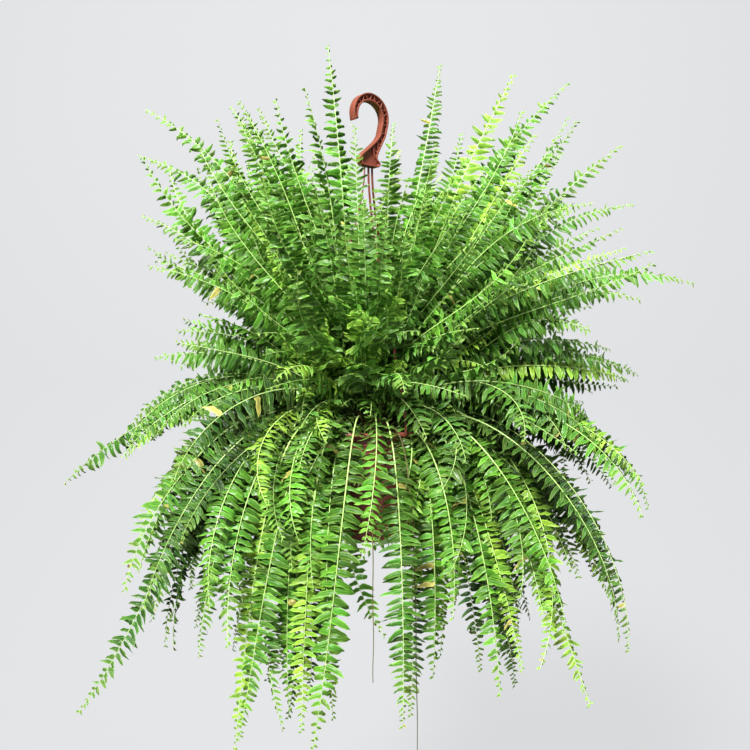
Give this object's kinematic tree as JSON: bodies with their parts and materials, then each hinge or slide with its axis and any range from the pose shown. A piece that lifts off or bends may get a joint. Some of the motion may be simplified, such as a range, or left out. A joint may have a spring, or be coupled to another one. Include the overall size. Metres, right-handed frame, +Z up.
{
  "type": "hanging potted fern",
  "caption": "Boston fern with long arching fronds in a tapered plastic hanging pot with a clip-on saucer, held by straps from a question-mark hook.",
  "frame": {"origin": "inside top of the hook's loop, where the planter bears on the rod or ceiling hook that holds it", "axes": "+Z up, -Y the front, +X to the right seen from the front; the hook's plane is turned 38 degrees about Z from the XZ plane"},
  "size_m": [0.8846, 0.5002, 0.9202],
  "materials": {
    "terracotta_plastic": "satin",
    "potting_mix": "matte",
    "root_stock": "matte",
    "leaf": "satin",
    "runner_stem": "matte"
  },
  "bodies": {
    "root": {"crown": "root_stock", "frond_01": "leaf", "frond_02": "leaf", "frond_03": "leaf", "frond_04": "leaf", "frond_05": "leaf", "frond_06": "leaf", "frond_07": "leaf", "frond_08": "leaf", "frond_09": "leaf", "frond_10": "leaf", "frond_11": "leaf", "frond_12": "leaf", "frond_13": "leaf", "frond_14": "leaf", "frond_15": "leaf", "frond_16": "leaf", "frond_17": "leaf", "frond_18": "leaf", "frond_19": "leaf", "frond_20": "leaf", "frond_21": "leaf", "frond_22": "leaf", "frond_23": "leaf", "frond_24": "leaf", "frond_25": "leaf", "frond_26": "leaf", "frond_27": "leaf", "frond_28": "leaf", "frond_29": "leaf", "frond_30": "leaf", "frond_31": "leaf", "frond_32": "leaf", "frond_33": "leaf", "frond_34": "leaf", "frond_35": "leaf", "frond_36": "leaf", "frond_37": "leaf", "frond_38": "leaf", "frond_39": "leaf", "frond_40": "leaf", "frond_41": "leaf", "frond_42": "leaf", "frond_43": "leaf", "frond_44": "leaf", "frond_45": "leaf", "frond_46": "leaf", "frond_47": "leaf", "frond_48": "leaf", "frond_49": "leaf", "frond_50": "leaf", "hanger_hook": "terracotta_plastic", "hanger_strap_1": "terracotta_plastic", "hanger_strap_2": "terracotta_plastic", "hanger_strap_3": "terracotta_plastic", "pot": "terracotta_plastic", "runner_1": "runner_stem", "runner_2": "runner_stem", "saucer": "terracotta_plastic", "soil": "potting_mix"}
  },
  "joints": []
}
